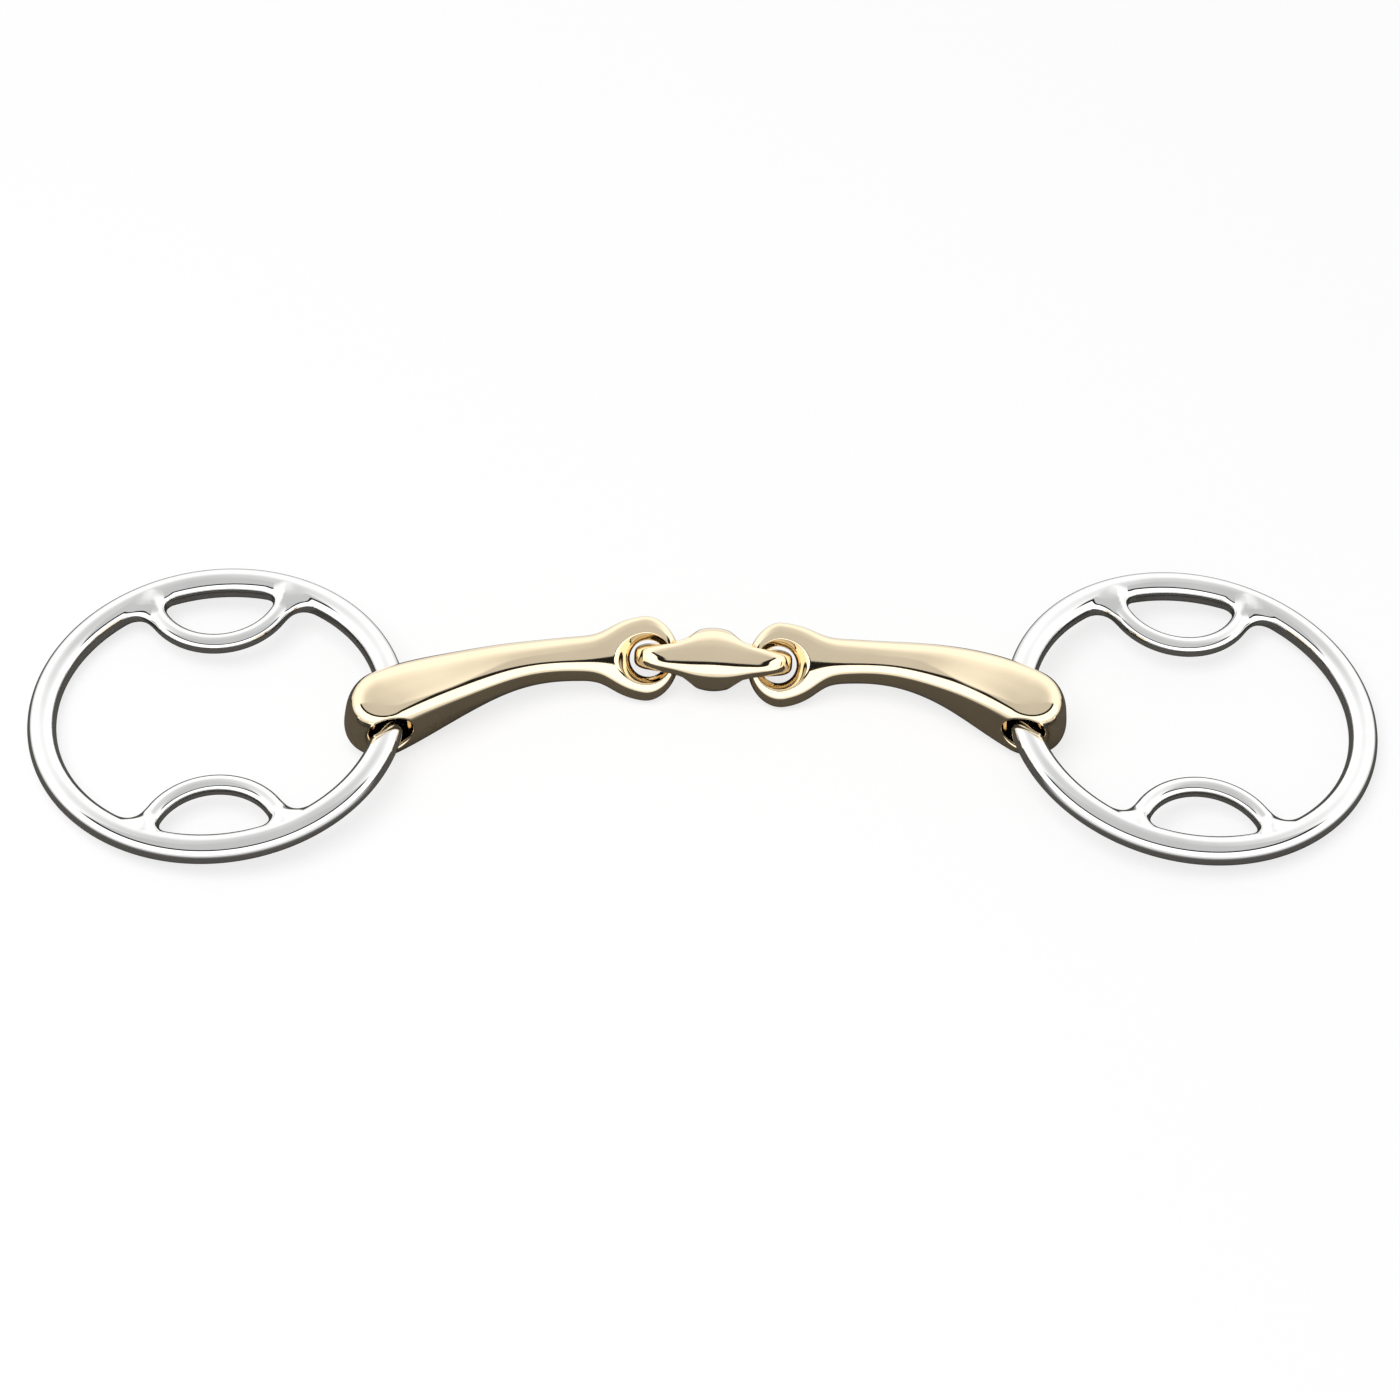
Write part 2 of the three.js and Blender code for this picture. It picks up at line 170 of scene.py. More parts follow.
def tilted(p, centre):
    """Coordinates in the plane of the eyes: along X, up across the mouthpiece, and out of the eyes' faces."""
    d = p - centre
    c, s = math.cos(EYE_TILT), math.sin(EYE_TILT)
    return d[:, 0], d[:, 1] * c + d[:, 2] * s, d[:, 2] * c - d[:, 1] * s


def smooth_step(value, low, high):
    t = np.clip((value - low) / (high - low), 0, 1)
    return t * t * (3 - 2 * t)


def ring_surface(p):
    """A ring with its loops and the webs of their welds, flat in the XY plane.

    The outline is blended in plan, and a round bar's height is then set by the depth inside the outline,
    so that the webs lie flush with the bars.
    """
    inward = RING_RADIUS - np.hypot(p[:, 0], p[:, 1])
    ring = np.abs(inward)
    y = (RING_RADIUS - LOOP_INSET) - np.abs(p[:, 1])
    x = np.abs(p[:, 0])
    from_centre = np.hypot(x, y)
    meeting = math.acos(LOOP_INSET / LOOP_RADIUS / 2)
    end_x, end_y = LOOP_RADIUS * math.sin(meeting), LOOP_RADIUS * math.cos(meeting)
    on_arc = np.arctan2(x, y) < meeting
    loop = np.where(on_arc, np.abs(from_centre - LOOP_RADIUS), np.hypot(x - end_x, y - end_y))
    ring_edge, loop_edge = ring - RING_BAR, loop - LOOP_BAR
    side = smooth_step(from_centre - LOOP_RADIUS, -LOOP_BAR, LOOP_BAR)
    web = WEB_INSIDE + (WEB_OUTSIDE - WEB_INSIDE) * side
    web = np.maximum(web * smooth_step(inward, WEB_EDGE, RING_BAR), SHARP)
    outline = blend_min(ring_edge, loop_edge, web)
    bar = RING_BAR - (RING_BAR - LOOP_BAR) * smooth_step(ring, RING_BAR, RING_BAR + WEB_SLOPE)
    return np.hypot(np.clip(outline + bar, 0, None), p[:, 2]) - bar


SPINE_SAMPLES = 600
SEARCH_ROUNDS, SEARCH_STEP = 5, 0.9  # for the nearest place on a spine


class Cannon:
    """One cannon as a right one: sections along a curved spine, round ends, a ring hole and an eye."""

    def __init__(self, side):
        heading, hole_offset, course = COURSES[side]
        heading = math.radians(heading)
        self.eye_hole = EYE_HOLES[side] * np.array([1 if side == "right" else -1, 1, 1])
        bow = self.eye_hole[1]
        eye_x = self.eye_hole[0] + EYE_HOLE_OFFSET
        eye_z = self.eye_hole[2]
        tip_x = eye_x - EYE_REACH
        outer_x = HOLE[0] + BUTT_OVERHANG * math.cos(heading)
        outer_y = -BUTT_OVERHANG * math.sin(heading) - hole_offset
        butt_z = HOLE[2] - HOLE_RISE
        span = HOLE[0] - eye_x

        def at(share):
            return eye_x + share * span

        neck, swollen = eye_x + NECK_LENGTH, at(SWELL)
        self.spine_y = smooth_curve(
            (tip_x, bow),
            (eye_x, bow),
            *((at(share), bow * part) for share, part in course),
            (HOLE[0], -hole_offset),
            (outer_x, outer_y),
        )
        self.spine_z = smooth_curve(
            (tip_x, eye_z),
            (eye_x, eye_z),
            (at(MIDDLE), MIDDLE_HEIGHT),
            (HOLE[0], butt_z),
            (outer_x, butt_z),
        )
        self.half_width = smooth_curve(
            (tip_x, EYE_RADIUS),
            (eye_x, EYE_RADIUS),
            *((eye_x + distance, width) for distance, width in NECK_HALF_WIDTHS),
            (at(NARROWEST), WAIST_RADIUS),
            (swollen, SWELL_HALF_WIDTH),
            (HOLE[0], BUTT_HALF_WIDTH),
            (outer_x, BUTT_TIP_HALF_WIDTH),
        )
        self.half_thickness = smooth_curve(
            (tip_x, EYE_HALF_THICKNESS),
            (eye_x, EYE_HALF_THICKNESS),
            (neck, NECK_HALF_THICKNESS),
            (at(THINNEST), WAIST_RADIUS),
            (swollen, SWELL_HALF_HEIGHT),
            (HOLE[0], BUTT_HALF_HEIGHT),
            (outer_x, BUTT_HALF_HEIGHT),
        )
        self.roll = smooth_curve(
            (tip_x, EYE_TILT),
            (neck, EYE_TILT),
            (swollen, SWELL_ROLL),
            (HOLE[0], BUTT_ROLL),
            (outer_x, BUTT_ROLL),
        )
        self.power = smooth_curve(
            (tip_x, EYE_POWER),
            (eye_x, EYE_POWER),
            (at(WAIST), WAIST_POWER),
            (swollen, SWELL_POWER),
            (HOLE[0], BUTT_POWER),
            (outer_x, BUTT_TIP_POWER),
        )
        self.xs = np.linspace(tip_x, outer_x, SPINE_SAMPLES)
        self.slopes = np.gradient(self.spine_y(self.xs), self.xs)
        steps = np.hypot(np.diff(self.xs), np.diff(self.spine_y(self.xs)))
        self.arc = np.concatenate([[0], np.cumsum(steps)])

    def nearest(self, p):
        """The place on the spine that each point is square to, in plan."""
        low, high = self.xs[0], self.xs[-1]
        x = np.clip(p[:, 0], low, high)
        for _ in range(SEARCH_ROUNDS):
            slope = np.interp(x, self.xs, self.slopes)
            step = (p[:, 0] - x + (p[:, 1] - self.spine_y(x)) * slope) / (1 + slope**2)
            x = np.clip(x + SEARCH_STEP * step, low, high)
        return x

    def body(self, p):
        x = self.nearest(p)
        slope = np.interp(x, self.xs, self.slopes)
        norm = np.hypot(1, slope)
        dx, dy, dz = p[:, 0] - x, p[:, 1] - self.spine_y(x), p[:, 2] - self.spine_z(x)
        beyond = (dx + dy * slope) / norm
        level = (dy - dx * slope) / norm
        turn = self.roll(x)
        across = level * np.cos(turn) + dz * np.sin(turn)
        out = dz * np.cos(turn) - level * np.sin(turn)
        along = np.interp(x, self.xs, self.arc) + beyond
        eye_end = np.clip(1 - along / EYE_REACH, 0, None)
        butt_end = np.clip(1 - (self.arc[-1] - along) / BUTT_HALF_HEIGHT, 0, None)
        width, thick, power = self.half_width(x), self.half_thickness(x), self.power(x)
        flat = np.sqrt((across / width) ** 2 + eye_end**2 + butt_end**2)
        section = (flat**power + np.abs(out / thick) ** power) ** (1 / power) - 1
        return section * np.minimum(width, thick)

    def surface(self, p):
        reach = np.abs(p[:, 1]) / RING_HOLE_DEPTH
        mouth = RING_HOLE_NECK + RING_HOLE_FLARE * np.minimum(reach, FLARE_LIMIT) ** 3
        ring_hole = np.hypot(p[:, 0] - HOLE[0], p[:, 2] - HOLE[2]) - mouth
        body = blend_max(self.body(p), -ring_hole, HOLE_EDGE)
        x, across, out = tilted(p, self.eye_hole)
        lip = EYE_NECK + EYE_LIP * np.minimum((out / EYE_LIP_DEPTH) ** 2, LIP_LIMIT)
        return blend_max(body, -(np.hypot(x, across) - lip), EYE_EDGE)


def both_ways(knots):
    """The knots of a curve that is the same on both sides of its middle."""
    return {(way * place, value) for place, value in knots for way in (-1, 1)}


link_height = smooth_curve(*both_ways(LINK_HEIGHTS))
link_power = smooth_curve(*both_ways(LINK_POWERS))


def link_surface(p):
    """The lozenge, its middle at the origin: a bar that swells in the middle, with an eye across each end."""
    x, across, out = tilted(p, np.zeros(3))
    end_radius = LINK_NECK + LINK_WALL
    hole_x = LINK_HALF_LENGTH - end_radius
    end = np.clip((np.abs(x) - hole_x) / end_radius, 0, None)
    height, power = link_height(x), link_power(x)
    disc = np.sqrt((out / LINK_HALF_DEPTH) ** 2 + end**2)
    body = (disc**power + np.abs(across / height) ** power) ** (1 / power) - 1
    body = body * height
    reach = np.minimum(np.abs(across) / LINK_END_HALF_HEIGHT, LINK_FLARE_LIMIT)
    wall = LINK_NECK + LINK_HOLE_FLARE * reach**3
    hole = np.hypot(np.abs(x) - hole_x, out) - wall
    return blend_max(body, -hole, LINK_EDGE)


# ---- Meshing --------------------------------------------------------------------------------


def sample(surface, low, high, step):
    axes = [np.arange(a - 2 * step, b + 3 * step, step) for a, b in zip(low, high)]
    grid = np.stack(np.meshgrid(*axes, indexing="ij"), -1)
    values = surface(grid.reshape(-1, 3)).reshape(grid.shape[:3])
    return values, np.array([a[0] for a in axes])


def net(values, origin, step):
    """Vertices and quads of the zero surface: one vertex in each cell that it crosses."""
    inside = values < 0
    cells = tuple(s - 1 for s in values.shape)
    total, count = np.zeros(cells + (3,)), np.zeros(cells)
    edges = []
    for axis in range(3):
        low = [slice(None)] * 3
        high = [slice(None)] * 3
        low[axis], high[axis] = slice(None, -1), slice(1, None)
        a, b = values[tuple(low)], values[tuple(high)]
        at = np.argwhere(inside[tuple(low)] != inside[tuple(high)])
        i, j, k = at.T
        place = at.astype(float)
        place[:, axis] += a[i, j, k] / (a[i, j, k] - b[i, j, k])
        others = [o for o in range(3) if o != axis]
        corners = []
        for back_0, back_1 in ((1, 1), (0, 1), (0, 0), (1, 0)):
            cell = at.copy()
            cell[:, others[0]] -= back_0
            cell[:, others[1]] -= back_1
            corners.append(cell)
            np.add.at(total, tuple(cell.T), place)
            np.add.at(count, tuple(cell.T), 1)
        turned = inside[i, j, k] if axis != 1 else ~inside[i, j, k]
        edges.append((corners, turned))
    used = np.argwhere(count > 0)
    number = np.full(cells, -1)
    number[tuple(used.T)] = np.arange(len(used))
    points = total[tuple(used.T)] / count[tuple(used.T)][:, None] * step + origin
    quads = []
    for corners, turned in edges:
        quad = np.stack([number[tuple(c.T)] for c in corners], 1)
        quad[~turned] = quad[~turned][:, ::-1]
        quads.append(quad)
    return points, np.concatenate(quads)


def gradient(surface, points, small=0.02):
    found = np.empty_like(points)
    for axis in range(3):
        shift = np.zeros(3)
        shift[axis] = small
        found[:, axis] = (surface(points + shift) - surface(points - shift)) / (2 * small)
    return found


SETTLE_ROUNDS = 4


def settle(surface, points, step):
    """Moves the points onto the surface, and returns them with the surface's normals."""
    for _ in range(SETTLE_ROUNDS):
        g = gradient(surface, points)
        move = surface(points)[:, None] * g / np.maximum((g**2).sum(1), 1e-6)[:, None]
        length = np.linalg.norm(move, axis=1)[:, None]
        points = points - move * np.minimum(1, 0.5 * step / np.maximum(length, 1e-9))
    g = gradient(surface, points)
    return points, g / np.linalg.norm(g, axis=1)[:, None]


def mesh_object(name, points, faces, normals):
    """A smooth mesh with these vertex normals. Points are in millimetres."""
    mesh = bpy.data.meshes.new(name)
    mesh.from_pydata(points * MM, [], faces.tolist())
    mesh.shade_smooth()
    mesh.normals_split_custom_set_from_vertices(normals)
    made = bpy.data.objects.new(name, mesh)
    bpy.context.scene.collection.objects.link(made)
    return made


def mirrored(points, faces, normals):
    flip = np.array([-1, 1, 1])
    return points * flip, faces[:, ::-1], normals * flip


def implicit(surface, low, high, step=STEP):
    points, quads = net(*sample(surface, low, high, step), step)
    points, normals = settle(surface, points, step)
    return points, quads, normals


# ---- Materials ------------------------------------------------------------------------------


def node(tree, kind, **values):
    made = tree.nodes.new(kind)
    for key, value in values.items():
        if key in made.inputs:
            made.inputs[key].default_value = value
        else:
            setattr(made, key, value)
    return made


HAZE_SCALE = 90.0
MARK_SCALE = (300.0, 2600.0, 2600.0)  # long along X, fine across
GLOSS_SPREAD = (0.6, 1.7)  # of the roughness
TONE_SPREAD, TONE_STOPS = (0.95, 1.04), (0.3, 0.7)  # of the colour, over the haze


def metal(name, colour, roughness):
    """Mirror-polished metal: hair-fine polishing marks and soft handling haze in the gloss."""
    material = bpy.data.materials.new(name)
    material.use_nodes = True
    tree = material.node_tree
    shader = tree.nodes["Principled BSDF"]
    shader.inputs["Metallic"].default_value = 1.0
    place = node(tree, "ShaderNodeTexCoord")

    haze = node(tree, "ShaderNodeTexNoise", Scale=HAZE_SCALE, Detail=3.0)
    tree.links.new(place.outputs["Object"], haze.inputs["Vector"])
    stretch = node(tree, "ShaderNodeMapping")
    stretch.inputs["Scale"].default_value = MARK_SCALE
    tree.links.new(place.outputs["Object"], stretch.inputs["Vector"])
    marks = node(tree, "ShaderNodeTexNoise", Scale=1.0, Detail=4.0, Roughness=0.7)
    tree.links.new(stretch.outputs["Vector"], marks.inputs["Vector"])

    gloss = node(tree, "ShaderNodeMapRange")
    gloss.inputs["To Min"].default_value = roughness * GLOSS_SPREAD[0]
    gloss.inputs["To Max"].default_value = roughness * GLOSS_SPREAD[1]
    mix = node(tree, "ShaderNodeMath", operation="MULTIPLY")
    tree.links.new(haze.outputs["Fac"], mix.inputs[0])
    tree.links.new(marks.outputs["Fac"], mix.inputs[1])
    tree.links.new(mix.outputs["Value"], gloss.inputs["Value"])
    tree.links.new(gloss.outputs["Result"], shader.inputs["Roughness"])

    tone = node(tree, "ShaderNodeValToRGB")
    for stop, share, position in zip(tone.color_ramp.elements, TONE_SPREAD, TONE_STOPS):
        stop.color = (*(min(c * share, 1) for c in colour), 1)
        stop.position = position
    tree.links.new(haze.outputs["Fac"], tone.inputs["Fac"])
    tree.links.new(tone.outputs["Color"], shader.inputs["Base Color"])

    bump = node(tree, "ShaderNodeBump", Strength=0.012, Distance=0.0001)
    tree.links.new(marks.outputs["Fac"], bump.inputs["Height"])
    tree.links.new(bump.outputs["Normal"], shader.inputs["Normal"])
    return material


STEEL = metal("polished_steel", (0.79, 0.79, 0.785), 0.05)
GOLD = metal("gold_alloy", (0.88, 0.745, 0.53), 0.06)


def place_piece(made, material, slot, body, *nodes):
    made.data.materials.append(material)
    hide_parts(*nodes)
    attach(made, body)


# ---- Rings and loops ------------------------------------------------------------------------


def ring_matrix(hand):
    """Carries a flat ring to its place, in millimetres: it leans from the hole down to the table."""
    centre_x = hand * (HOLE[0] + RING_RADIUS * math.cos(RING_TILT))
    centre_z = HOLE[2] - RING_RADIUS * math.sin(RING_TILT)
    return Matrix.Translation((centre_x, 0, centre_z)) @ Matrix.Rotation(hand * RING_TILT, 4, "Y")


def moved(points, normals, matrix):
    m = np.array(matrix)
    return points @ m[:3, :3].T + m[:3, 3], normals @ m[:3, :3].T


def seam_planes():
    """For each of the four loop ends: a point on its weld seam and the direction towards the root."""
    angle = math.radians(LOOP_ROOT_ANGLE)
    for side in (-1, 1):
        for hand in (-1, 1):
            out = Vector((hand * math.sin(angle), -side * math.cos(angle), 0))
            along = Vector((hand * math.cos(angle), side * math.sin(angle), 0))
            yield Vector((0, side * (RING_RADIUS - LOOP_INSET), 0)) + out * LOOP_RADIUS, along


def in_loop(points, side):
    """Which points belong to the arc of a loop between its two seams."""
    y = side * points[:, 1] - (RING_RADIUS - LOOP_INSET)
    angle = np.degrees(np.arctan2(np.abs(points[:, 0]), -y))
    off = np.hypot(np.hypot(points[:, 0], y) - LOOP_RADIUS, points[:, 2])
    return (angle < LOOP_ROOT_ANGLE) & (off < LOOP_BAR + 1)


def split_ring(points, quads):
    """The ring's mesh in three parts, cut at the weld seams: the ring with its roots, and the two loops."""
    whole = bmesh.new()
    made = [whole.verts.new(p) for p in points]
    for quad in quads:
        whole.faces.new([made[i] for i in quad])
    for at, along in seam_planes():
        near = [f for f in whole.faces if (f.calc_center_median() - at).length < SEAM_REACH]
        around = {*near, *(e for f in near for e in f.edges), *(v for f in near for v in f.verts)}
        bmesh.ops.bisect_plane(whole, geom=list(around), dist=1e-6, plane_co=at, plane_no=along)
    whole.verts.index_update()
    centres = np.array([f.calc_center_median() for f in whole.faces])
    kinds = np.zeros(len(centres), int)
    for kind, side in ((1, 1), (2, -1)):
        kinds[in_loop(centres, side)] = kind
    corners = np.array([v.co for v in whole.verts])
    faces = [[v.index for v in f.verts] for f in whole.faces]
    whole.free()
    return corners, faces, kinds


def capped(name, corners, faces, matrix):
    """One part of the cut ring as a closed object: its open seams get flat caps with edges of their own."""
    build = bmesh.new()
    used = sorted({i for f in faces for i in f})
    made = {i: build.verts.new(corners[i]) for i in used}
    for face in faces:
        build.faces.new([made[i] for i in face])
    count = len(build.faces)
    rims = [e for e in build.edges if len(e.link_faces) == 1]
    bmesh.ops.holes_fill(build, edges=rims, sides=0)
    mesh = bpy.data.meshes.new(name)
    build.to_mesh(mesh)
    build.free()
    points = np.array([v.co for v in mesh.vertices], float)
    smooth = gradient(ring_surface, points)
    smooth /= np.linalg.norm(smooth, axis=1)[:, None]
    points, smooth = moved(points, smooth, matrix)
    mesh.vertices.foreach_set("co", (points * MM).ravel())
    mesh.update()
    mesh.shade_smooth()
    normals = np.empty((len(mesh.loops), 3))
    for face in mesh.polygons:
        for corner in face.loop_indices:
            vertex = mesh.loops[corner].vertex_index
            normals[corner] = smooth[vertex] if face.index < count else face.normal
    mesh.normals_split_custom_set(normals)
    result = bpy.data.objects.new(name, mesh)
    bpy.context.scene.collection.objects.link(result)
    return result


reach = RING_RADIUS + RING_BAR
ring_points, ring_quads, _ = implicit(ring_surface, (-reach, -reach, -RING_BAR), (reach, reach, RING_BAR))
ring_corners, ring_faces, ring_kinds = split_ring(ring_points, ring_quads)

for hand, side_name in ((-1, "left"), (1, "right")):
    body = f"ring_{side_name}"
    for kind, part in enumerate(("ring", "upper_loop", "lower_loop")):
        chosen = [f for f, k in zip(ring_faces, ring_kinds) if k == kind]
        made = capped(f"{side_name}_{part}_bar", ring_corners, chosen, ring_matrix(hand))
        place_piece(made, STEEL, "polished_steel", body, f"{side_name}_{part}")

# ---- Mouthpiece -----------------------------------------------------------------------------

FINE_STEP = 0.75 * STEP
MARGIN = 0.8  # round the link's sizes, to leave room for the grid
CANNON_REACH = (4, -11, -1), (74, 23, 18)  # the corners of a box that holds either cannon as a right one

for side_name in COURSES:
    shape = implicit(Cannon(side_name).surface, *CANNON_REACH, FINE_STEP)
    if side_name == "left":
        shape = mirrored(*shape)
    made = mesh_object(f"{side_name}_cannon_bar", *shape)
    place_piece(made, GOLD, "gold_alloy", f"cannon_{side_name}", f"{side_name}_cannon")

link_reach = np.array([LINK_HALF_LENGTH, LINK_HALF_DEPTH, LINK_HALF_DEPTH]) + MARGIN
link_points, link_quads, link_normals = implicit(link_surface, -link_reach, link_reach, FINE_STEP)
link_place = Matrix.Translation(LINK_CENTRE) @ Matrix.Rotation(LINK_YAW, 4, "Z")
link_points, link_normals = moved(link_points, link_normals, link_place)
link = mesh_object("centre_link_lozenge", link_points, link_quads, link_normals)
place_piece(link, GOLD, "gold_alloy", "link", "centre_link")

# ---- Studio ---------------------------------------------------------------------------------

ROOM = 6.0
FLOOR_DROP, CARD_DROP = 0.0002, 0.0001  # how far they lie below the part
STUDIO_LEVEL, PLAIN_LEVEL = 1.7, 0.4  # what mirrors see at level 1 below, and all other surfaces' light

# Light levels by degrees above the floor: towards the viewer, a bright band, a black gap and a soft box.
FRONT_LEVELS = ((0, 1.0), (31.5, 1.0), (33, 0.01), (41, 0.01), (42.5, 0.41), (60, 0.41), (90, 0.42))
BACK_LEVELS = ((0, 0.7), (8, 0.8), (38, 0.8), (62, 0.5), (90, 0.42))
FRONT_TO_BACK = 0.05  # half the width of the change overhead, as a share of a unit direction

# The shade card: painted shade, a dark sheet under the part that only mirrors see, standing in for the part's
# shadow on the floor beside it.
CARD_SIZE = 0.36
SHADE_CARD_COLOUR = (0.125, 0.118, 0.108, 1)
CARD_DISC, CARD_STRIP, CARD_EDGE = 0.046, 0.018, 0.03


def stage_plane(name, size, height, material):
    mesh = bpy.data.meshes.new(name)
    half = size / 2
    corners = ((-half, -half), (half, -half), (half, half), (-half, half))
    mesh.from_pydata([(x, y, height) for x, y in corners], [], [(0, 1, 2, 3)])
    made = bpy.data.objects.new(name, mesh)
    bpy.context.scene.collection.objects.link(made)
    made.data.materials.append(material)
    return made


def background_ray(tree):
    """1 for the rays that show the white background: those of the camera, mirrors and glass."""
    path = node(tree, "ShaderNodeLightPath")
    mirrors = node(tree, "ShaderNodeMath", operation="MAXIMUM")
    seen = node(tree, "ShaderNodeMath", operation="MAXIMUM")
    tree.links.new(path.outputs["Is Glossy Ray"], mirrors.inputs[0])
    tree.links.new(path.outputs["Is Transmission Ray"], mirrors.inputs[1])
    tree.links.new(path.outputs["Is Camera Ray"], seen.inputs[0])
    tree.links.new(mirrors.outputs[0], seen.inputs[1])
    return seen.outputs[0]


def floor_material():
    """White where it is seen lit, a little darker in shadow, and plain pale for all other light."""
    material = bpy.data.materials.new("floor")
    material.use_nodes = True
    tree = material.node_tree
    tree.nodes.clear()
    out = node(tree, "ShaderNodeOutputMaterial")
    plain = node(tree, "ShaderNodeBsdfDiffuse", Color=(0.8, 0.8, 0.8, 1))
    shade = node(tree, "ShaderNodeBsdfDiffuse", Color=(0.3, 0.3, 0.3, 1))
    glow = node(tree, "ShaderNodeEmission", Color=(1, 1, 1, 1), Strength=0.75)
    white = node(tree, "ShaderNodeAddShader")
    mix = node(tree, "ShaderNodeMixShader")
    tree.links.new(glow.outputs[0], white.inputs[0])
    tree.links.new(shade.outputs[0], white.inputs[1])
    tree.links.new(background_ray(tree), mix.inputs[0])
    tree.links.new(plain.outputs[0], mix.inputs[1])
    tree.links.new(white.outputs[0], mix.inputs[2])
    tree.links.new(mix.outputs[0], out.inputs["Surface"])
    return material


def shade_card_material():
    """Painted shade seen only in mirrors, a matte warm grey, soft-edged, standing in for the part's shadow on
    the floor beside it: discs round the rings and a strip along the mouthpiece.
    """
    material = bpy.data.materials.new("painted_shade_card")
    material.use_nodes = True
    tree = material.node_tree
    tree.nodes.clear()

    def maths(operation, *terms):
        made = node(tree, "ShaderNodeMath", operation=operation)
        for number, term in enumerate(terms):
            if isinstance(term, float):
                made.inputs[number].default_value = term
            else:
                tree.links.new(term, made.inputs[number])
        return made.outputs[0]

    def within(distance, edge):
        made = node(tree, "ShaderNodeMapRange", interpolation_type="SMOOTHSTEP")
        made.inputs["From Min"].default_value = edge
        made.inputs["From Max"].default_value = edge + CARD_EDGE
        made.inputs["To Min"].default_value = 1.0
        made.inputs["To Max"].default_value = 0.0
        tree.links.new(distance, made.inputs["Value"])
        return made.outputs["Result"]

    place = node(tree, "ShaderNodeTexCoord")
    split = node(tree, "ShaderNodeSeparateXYZ")
    tree.links.new(place.outputs["Object"], split.inputs[0])
    x, y = maths("ABSOLUTE", split.outputs["X"]), split.outputs["Y"]
    ring_x = maths("SUBTRACT", x, (HOLE[0] + RING_RADIUS) * MM)
    from_ring = maths("SQRT", maths("ADD", maths("MULTIPLY", ring_x, ring_x), maths("MULTIPLY", y, y)))
    strip = maths("MULTIPLY", within(maths("ABSOLUTE", y), CARD_STRIP), within(x, HOLE[0] * MM))
    # Where the painted shade lies: round the rings and along the mouthpiece, with soft edges.
    shade_card = maths("MAXIMUM", within(from_ring, CARD_DISC), strip)

    out = node(tree, "ShaderNodeOutputMaterial")
    clear = node(tree, "ShaderNodeBsdfTransparent")
    matte = node(tree, "ShaderNodeBsdfDiffuse", Color=SHADE_CARD_COLOUR)
    mix = node(tree, "ShaderNodeMixShader")
    tree.links.new(shade_card, mix.inputs[0])
    tree.links.new(clear.outputs[0], mix.inputs[1])
    tree.links.new(matte.outputs[0], mix.inputs[2])
    tree.links.new(mix.outputs[0], out.inputs["Surface"])
    return material


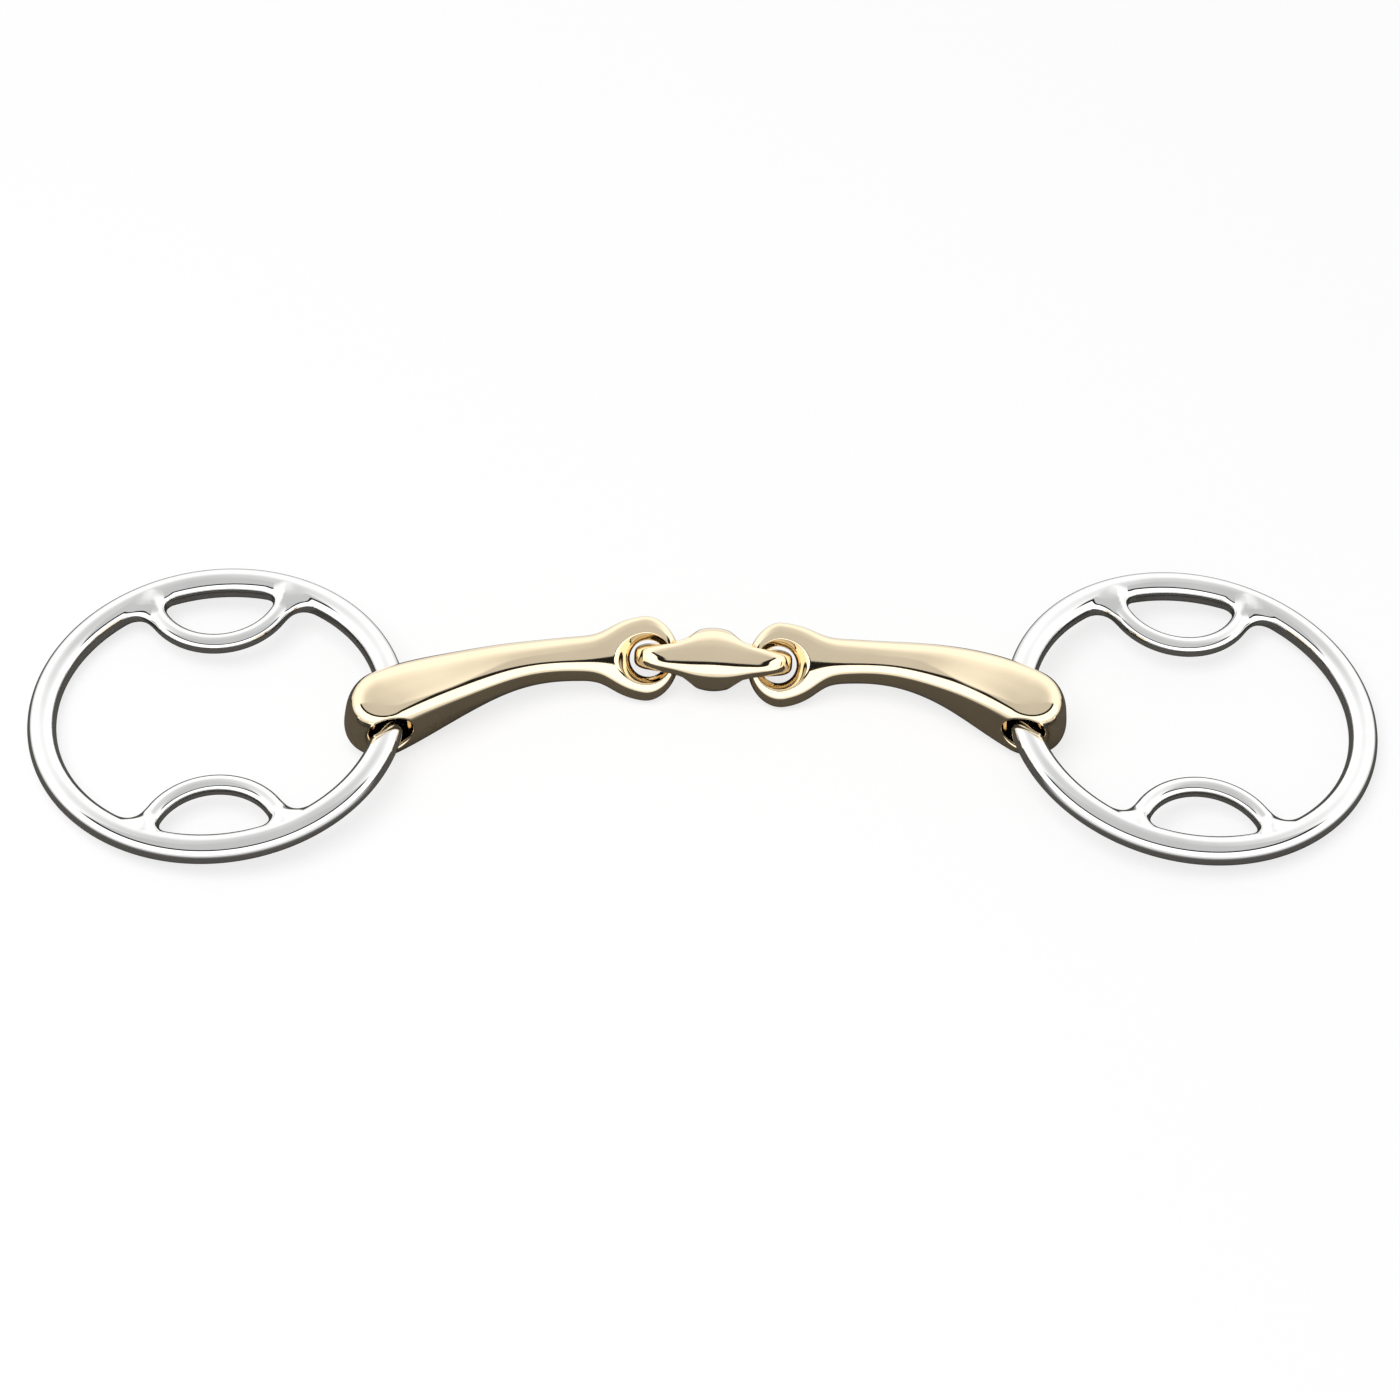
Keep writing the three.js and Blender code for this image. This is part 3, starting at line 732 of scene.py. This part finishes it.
def world_light():
    """A studio that mirrors see round the part, plain light for the rest, and white for the camera."""
    world = bpy.data.worlds.new("studio")
    bpy.context.scene.world = world
    world.use_nodes = True
    tree = world.node_tree
    tree.nodes.clear()
    out = node(tree, "ShaderNodeOutputWorld")
    where = node(tree, "ShaderNodeTexCoord")
    split = node(tree, "ShaderNodeSeparateXYZ")
    tree.links.new(where.outputs["Generated"], split.inputs[0])
    rise = node(tree, "ShaderNodeMath", operation="ARCSINE")
    tree.links.new(split.outputs["Z"], rise.inputs[0])
    share = node(tree, "ShaderNodeMath", operation="MULTIPLY")
    share.inputs[1].default_value = 2 / math.pi
    tree.links.new(rise.outputs[0], share.inputs[0])

    def ramp(stops):
        """Grey levels by degrees above the floor."""
        made = node(tree, "ShaderNodeValToRGB")
        elements = made.color_ramp.elements
        while len(elements) > 1:
            elements.remove(elements[0])
        for number, (degrees, level) in enumerate(stops):
            stop = elements[0] if number == 0 else elements.new(degrees / 90)
            stop.position = degrees / 90
            stop.color = (level, level, level, 1)
        tree.links.new(share.outputs[0], made.inputs["Fac"])
        return made

    front, back = ramp(FRONT_LEVELS), ramp(BACK_LEVELS)
    side = node(tree, "ShaderNodeMapRange")
    side.inputs["From Min"].default_value = -FRONT_TO_BACK
    side.inputs["From Max"].default_value = FRONT_TO_BACK
    tree.links.new(split.outputs["Y"], side.inputs["Value"])
    both = node(tree, "ShaderNodeMix", data_type="RGBA")
    tree.links.new(side.outputs["Result"], both.inputs["Factor"])
    tree.links.new(front.outputs["Color"], both.inputs["A"])
    tree.links.new(back.outputs["Color"], both.inputs["B"])
    studio = node(tree, "ShaderNodeBackground", Strength=STUDIO_LEVEL)
    tree.links.new(both.outputs["Result"], studio.inputs["Color"])

    plain = node(tree, "ShaderNodeBackground", Color=(1, 1, 1, 1), Strength=PLAIN_LEVEL)
    white = node(tree, "ShaderNodeBackground", Color=(1, 1, 1, 1), Strength=1.0)
    path = node(tree, "ShaderNodeLightPath")
    first = node(tree, "ShaderNodeMixShader")
    second = node(tree, "ShaderNodeMixShader")
    tree.links.new(path.outputs["Is Glossy Ray"], first.inputs[0])
    tree.links.new(plain.outputs[0], first.inputs[1])
    tree.links.new(studio.outputs[0], first.inputs[2])
    tree.links.new(path.outputs["Is Camera Ray"], second.inputs[0])
    tree.links.new(first.outputs[0], second.inputs[1])
    tree.links.new(white.outputs[0], second.inputs[2])
    tree.links.new(second.outputs[0], out.inputs["Surface"])


def soft_lamp(place, size, watts):
    data = bpy.data.lights.new("soft_lamp", "AREA")
    data.shape, data.size, data.size_y, data.energy = "RECTANGLE", size, size, watts
    lamp = bpy.data.objects.new("soft_lamp", data)
    lamp.location = place
    lamp.rotation_euler = (-Vector(place)).to_track_quat("-Z", "Y").to_euler()
    lamp.visible_glossy = False
    bpy.context.scene.collection.objects.link(lamp)


floor = stage_plane("floor", ROOM, cad_box[0].z - FLOOR_DROP, floor_material())
# A dark card that only mirrors see: painted shade that darkens the metal's reflection of the floor next to
# the part.
shade_card = stage_plane("painted_shade_card", CARD_SIZE, cad_box[0].z - CARD_DROP, shade_card_material())
shade_card.visible_camera = shade_card.visible_diffuse = shade_card.visible_shadow = False
world_light()
soft_lamp(place=(-0.4, -0.3, 1.2), size=0.9, watts=9.0)

# ---- Camera ---------------------------------------------------------------------------------

AZIMUTH, ELEVATION, CAMERA_ROLL = math.radians(-4.362), math.radians(48.887), math.radians(3.455)
CAMERA_DISTANCE = 1.2237
LOOK_AT = Vector((-0.002137, 0.009381, cad_box[0].z))

camera_data = bpy.data.cameras.new("camera")
camera_data.sensor_width = 36.0
camera_data.lens = 155.91
camera_data.shift_x = 0.00498
camera_data.shift_y = -0.00057
camera = bpy.data.objects.new("camera", camera_data)
bpy.context.scene.collection.objects.link(camera)
back = Vector(
    (
        math.sin(AZIMUTH) * math.cos(ELEVATION),
        -math.cos(AZIMUTH) * math.cos(ELEVATION),
        math.sin(ELEVATION),
    )
)
level_right = Vector((math.cos(AZIMUTH), math.sin(AZIMUTH), 0))
level_up = back.cross(level_right)
right = level_right * math.cos(CAMERA_ROLL) + level_up * math.sin(CAMERA_ROLL)
up = back.cross(right)
turn = Matrix((right, up, back)).transposed().to_4x4()
camera.matrix_world = Matrix.Translation(LOOK_AT + back * CAMERA_DISTANCE) @ turn
bpy.context.scene.camera = camera
bpy.context.scene.view_settings.view_transform = "Standard"
